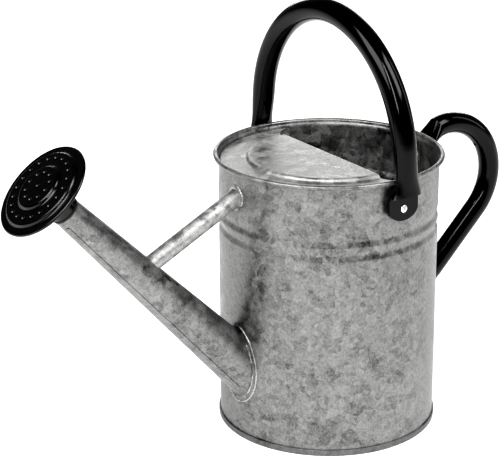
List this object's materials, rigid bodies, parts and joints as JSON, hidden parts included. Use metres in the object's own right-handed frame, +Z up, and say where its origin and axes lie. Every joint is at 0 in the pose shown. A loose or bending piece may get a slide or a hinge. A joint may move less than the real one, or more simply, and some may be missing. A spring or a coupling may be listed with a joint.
{
  "type": "watering can",
  "caption": "Galvanised steel watering can with a half cover, long braced spout, removable black rose, swinging top handle and fixed rear handle.",
  "frame": {"origin": "on the tank's axis, on the plane that the base seam stands on", "axes": "+Z up; the spout points along -X; the rear handle is at +X; the top handle's pivots are at +Y and -Y, 2.4 mm behind the tank's axis"},
  "size_m": [0.4181, 0.1896, 0.3169],
  "materials": {
    "galvanised_sheet": "galvanised, spangled, semi-gloss",
    "galvanised_trim": "galvanised, brushed bright",
    "rim_wire_steel": "plain steel wire",
    "black_handle": "gloss black powder coat",
    "black_rose": "gloss black enamel",
    "rivet_aluminium": "satin",
    "washer_steel": "zinc plated",
    "black_spacer": "matt",
    "black_rubber": "matt"
  },
  "bodies": {
    "can": {"tank_wall": "galvanised_sheet", "rim_wire": "rim_wire_steel", "tank_base": "galvanised_sheet", "half_cover": "galvanised_trim", "spout_tube": "galvanised_sheet", "spout_collar": "galvanised_trim", "brace_tube": "galvanised_trim", "brace_collar": "galvanised_trim", "bail_rivet_left": "rivet_aluminium", "bail_rivet_right": "rivet_aluminium", "bail_spacer_left": "black_spacer", "bail_spacer_right": "black_spacer", "bail_washer_left": "washer_steel", "bail_washer_right": "washer_steel", "rear_handle": "black_handle", "rear_rivet_upper": "rivet_aluminium", "rear_rivet_lower": "rivet_aluminium", "rear_washer_upper": "washer_steel", "rear_washer_lower": "washer_steel"},
    "bail": {"bail_handle": "black_handle"},
    "rose_seal": {"rose_seal": "black_rubber"},
    "rose": {"rose_face": "black_rose", "rose_back": "black_rose", "rose_neck": "black_rose"}
  },
  "joints": [
    {"name": "bail_swing", "type": "hinge", "parent": "can", "child": "bail", "pos_m": [0.0024, 0, 0.185], "axis": [0, 1, 0], "range_deg": [-88, 70]},
    {"name": "rose_pull", "type": "slide", "parent": "can", "child": "rose_seal", "axis": [-0.6871, 0, 0.7266], "range_m": [0, 0.03]},
    {"name": "rose_turn", "type": "hinge", "parent": "rose_seal", "child": "rose", "pos_m": [-0.21488, 0, 0.20143], "axis": [-0.6871, 0, 0.7266], "continuous": true}
  ]
}
